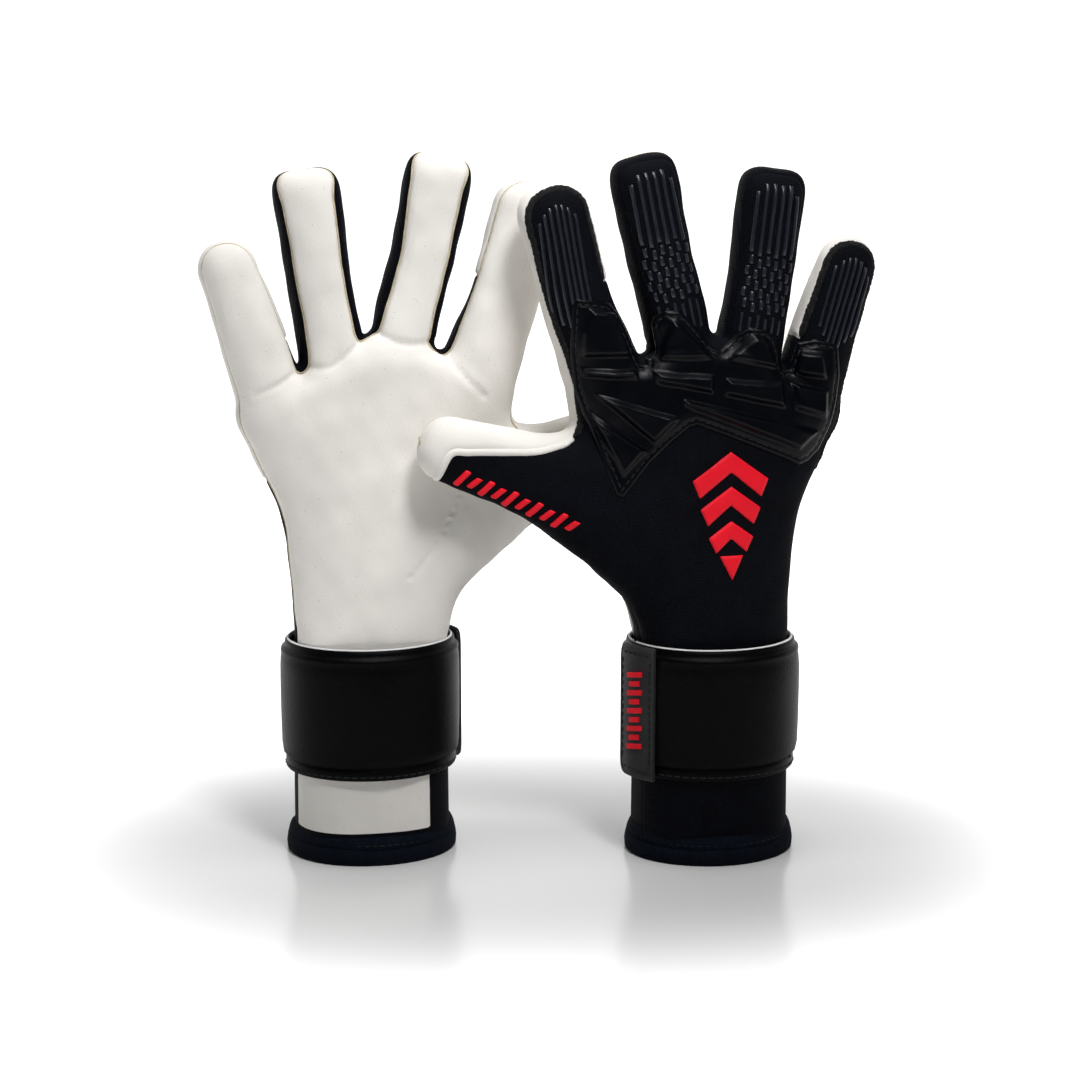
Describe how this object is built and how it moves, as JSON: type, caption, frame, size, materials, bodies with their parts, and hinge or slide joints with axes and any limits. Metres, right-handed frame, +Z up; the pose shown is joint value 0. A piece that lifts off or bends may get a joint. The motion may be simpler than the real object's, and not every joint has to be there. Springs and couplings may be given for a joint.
{
  "type": "goalkeeper gloves",
  "caption": "Football goalkeeper gloves standing on their cuffs: latex palms, ribbed black backs with a moulded punching pad, and wide wrist straps.",
  "frame": {"origin": "on the surface the cuffs stand on, midway between the two gloves", "axes": "+Z up along the gloves from cuff to fingertips, +X across the palms from glove a to glove b, +Y away from the side that shows glove a's palm and glove b's back"},
  "size_m": [0.2678, 0.0946, 0.2886],
  "materials": {
    "latex": "matt off-white latex foam, very slightly grained",
    "neoprene": "black knitted neoprene with raised ribs",
    "punch": "satin black moulded panel, stitched",
    "strap": "black padded strap with a soft satin face",
    "binding": "matt black woven binding",
    "tape": "black hook and loop tape",
    "tab": "dark grey satin rubber",
    "print": "red raised silicone print"
  },
  "bodies": {
    "a_hand": {"a_palm_latex": "latex", "a_backhand": "neoprene", "a_pinky_side": "latex", "a_thumb_side": "neoprene", "a_thumb_web": "latex", "a_punch_pad": "punch", "a_emblem": "print", "a_cuff_sleeve": "neoprene", "a_cuff_hem": "binding", "a_palm_tail": "latex", "a_loop_patch": "tape", "a_wrist_strap": "strap"},
    "a_pinky": {"a_pinky_latex": "latex", "a_pinky_gusset": "latex", "a_pinky_back": "neoprene"},
    "a_ring": {"a_ring_latex": "latex", "a_ring_gusset": "neoprene", "a_ring_back": "neoprene"},
    "a_middle": {"a_middle_latex": "latex", "a_middle_gusset": "neoprene", "a_middle_back": "neoprene"},
    "a_index": {"a_index_latex": "latex", "a_index_gusset": "latex", "a_index_back": "neoprene"},
    "a_thumb": {"a_thumb_latex": "latex", "a_thumb_gusset": "latex", "a_thumb_back": "neoprene"},
    "a_flap": {"a_strap_flap": "strap", "a_hook_patch": "tape", "a_strap_tab": "tab"},
    "b_hand": {"b_palm_latex": "latex", "b_backhand": "neoprene", "b_pinky_side": "latex", "b_thumb_side": "neoprene", "b_thumb_web": "latex", "b_punch_pad": "punch", "b_emblem": "print", "b_cuff_sleeve": "neoprene", "b_cuff_hem": "binding", "b_palm_tail": "latex", "b_loop_patch": "tape", "b_wrist_strap": "strap"},
    "b_pinky": {"b_pinky_latex": "latex", "b_pinky_gusset": "latex", "b_pinky_back": "neoprene"},
    "b_ring": {"b_ring_latex": "latex", "b_ring_gusset": "neoprene", "b_ring_back": "neoprene"},
    "b_middle": {"b_middle_latex": "latex", "b_middle_gusset": "neoprene", "b_middle_back": "neoprene"},
    "b_index": {"b_index_latex": "latex", "b_index_gusset": "latex", "b_index_back": "neoprene"},
    "b_thumb": {"b_thumb_latex": "latex", "b_thumb_gusset": "latex", "b_thumb_back": "neoprene"},
    "b_flap": {"b_strap_flap": "strap", "b_hook_patch": "tape", "b_strap_tab": "tab"}
  },
  "joints": [
    {"name": "a_pinky_bend", "type": "hinge", "parent": "a_hand", "child": "a_pinky", "pos_m": [-0.11194, 0.0036, 0.20759], "axis": [0.9588, 0, 0.284], "range_deg": [0, 70], "stiffness_Nm_per_rad": 0.05},
    {"name": "a_ring_bend", "type": "hinge", "parent": "a_hand", "child": "a_ring", "pos_m": [-0.08498, 0.0032, 0.22239], "axis": [0.989, 0, 0.1478], "range_deg": [0, 70], "stiffness_Nm_per_rad": 0.05},
    {"name": "a_middle_bend", "type": "hinge", "parent": "a_hand", "child": "a_middle", "pos_m": [-0.05102, 0.0032, 0.22178], "axis": [0.9781, 0, -0.2079], "range_deg": [0, 70], "stiffness_Nm_per_rad": 0.05},
    {"name": "a_index_bend", "type": "hinge", "parent": "a_hand", "child": "a_index", "pos_m": [-0.01633, 0.0286, 0.21344], "axis": [0.9636, 0, -0.2672], "range_deg": [-30, 0], "stiffness_Nm_per_rad": 0.05},
    {"name": "a_thumb_bend", "type": "hinge", "parent": "a_hand", "child": "a_thumb", "pos_m": [0.00824, 0.0292, 0.15723], "axis": [0.3584, 0, -0.9336], "range_deg": [-30, 0], "stiffness_Nm_per_rad": 0.05},
    {"name": "a_flap_open", "type": "hinge", "parent": "a_hand", "child": "a_flap", "pos_m": [-0.07183, 0.04758, 0.063], "axis": [0, 0, 1], "range_deg": [0, 110]},
    {"name": "b_pinky_bend", "type": "hinge", "parent": "b_hand", "child": "b_pinky", "pos_m": [0.11194, -0.0036, 0.20759], "axis": [-0.9588, 0, 0.284], "range_deg": [0, 70], "stiffness_Nm_per_rad": 0.05},
    {"name": "b_ring_bend", "type": "hinge", "parent": "b_hand", "child": "b_ring", "pos_m": [0.08498, -0.0032, 0.22239], "axis": [-0.989, 0, 0.1478], "range_deg": [0, 70], "stiffness_Nm_per_rad": 0.05},
    {"name": "b_middle_bend", "type": "hinge", "parent": "b_hand", "child": "b_middle", "pos_m": [0.05102, -0.0032, 0.22178], "axis": [-0.9781, 0, -0.2079], "range_deg": [0, 70], "stiffness_Nm_per_rad": 0.05},
    {"name": "b_index_bend", "type": "hinge", "parent": "b_hand", "child": "b_index", "pos_m": [0.01633, -0.0286, 0.21344], "axis": [-0.9636, 0, -0.2672], "range_deg": [-30, 0], "stiffness_Nm_per_rad": 0.05},
    {"name": "b_thumb_bend", "type": "hinge", "parent": "b_hand", "child": "b_thumb", "pos_m": [-0.00824, -0.0292, 0.15723], "axis": [-0.3584, 0, -0.9336], "range_deg": [-30, 0], "stiffness_Nm_per_rad": 0.05},
    {"name": "b_flap_open", "type": "hinge", "parent": "b_hand", "child": "b_flap", "pos_m": [0.07183, -0.04758, 0.063], "axis": [0, 0, 1], "range_deg": [0, 110]},
    {"name": "b_glove_apart", "type": "slide", "parent": "a_hand", "child": "b_hand", "axis": [1, 0, 0], "range_m": [0, 0.12]}
  ]
}
